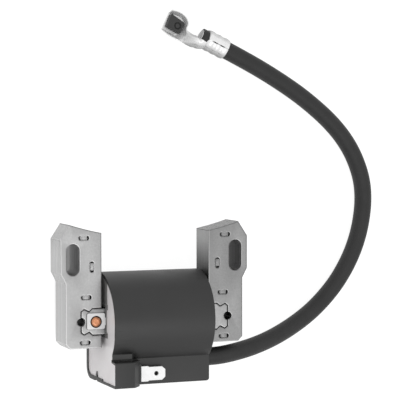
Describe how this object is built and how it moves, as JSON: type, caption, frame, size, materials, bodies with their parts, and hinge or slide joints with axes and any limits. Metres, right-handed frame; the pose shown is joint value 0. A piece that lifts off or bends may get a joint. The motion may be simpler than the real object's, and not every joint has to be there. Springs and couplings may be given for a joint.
{
  "type": "ignition coil",
  "caption": "Flywheel magneto ignition coil: laminated legs and core bar, moulded coil case, kill blade and high-tension lead with a plug clip.",
  "frame": {"origin": "on the flat back of the case, straight below the middle of the core bar; the coil lies on z = 0", "axes": "+X along the core bar from the potted end to the lead end, +Y towards the flywheel, +Z along the thickness of the lamination stack"},
  "size_m": [0.1428, 0.1468, 0.0354],
  "materials": {
    "core_steel": "bare laminated steel, satin",
    "black_nylon": "moulded, matte",
    "case_plastic": "moulded, fine satin",
    "pale_nylon": "moulded, matte",
    "copper": "bright copper",
    "sleeve_paper": "paper, matte",
    "epoxy": "cast epoxy, satin",
    "tinned_plate": "tin plated",
    "board": "printed circuit laminate",
    "component_black": "moulded epoxy",
    "wire_enamel": "enamelled wire",
    "lead_rubber": "matte rubber",
    "clip_rubber": "matte rubber"
  },
  "bodies": {
    "root": {"left_leg": "core_steel", "right_leg": "core_steel", "core_bar": "core_steel", "primary_bobbin": "black_nylon", "primary_winding": "copper", "insulation_sleeve": "sleeve_paper", "secondary_bobbin": "pale_nylon", "secondary_winding": "copper", "coil_case": "case_plastic", "potting_compound": "epoxy", "ground_plate": "tinned_plate", "ground_rivet": "copper", "kill_terminal": "tinned_plate", "circuit_board": "board", "power_transistor": "component_black", "driver_transistor": "component_black", "resistors": "component_black", "diode": "component_black", "primary_wires": "wire_enamel", "ground_wire": "wire_enamel", "high_tension_contact": "tinned_plate", "high_tension_lead": "lead_rubber", "lead_conductor": "copper", "spark_plug_clip": "tinned_plate", "clip_insert": "clip_rubber"}
  },
  "joints": []
}
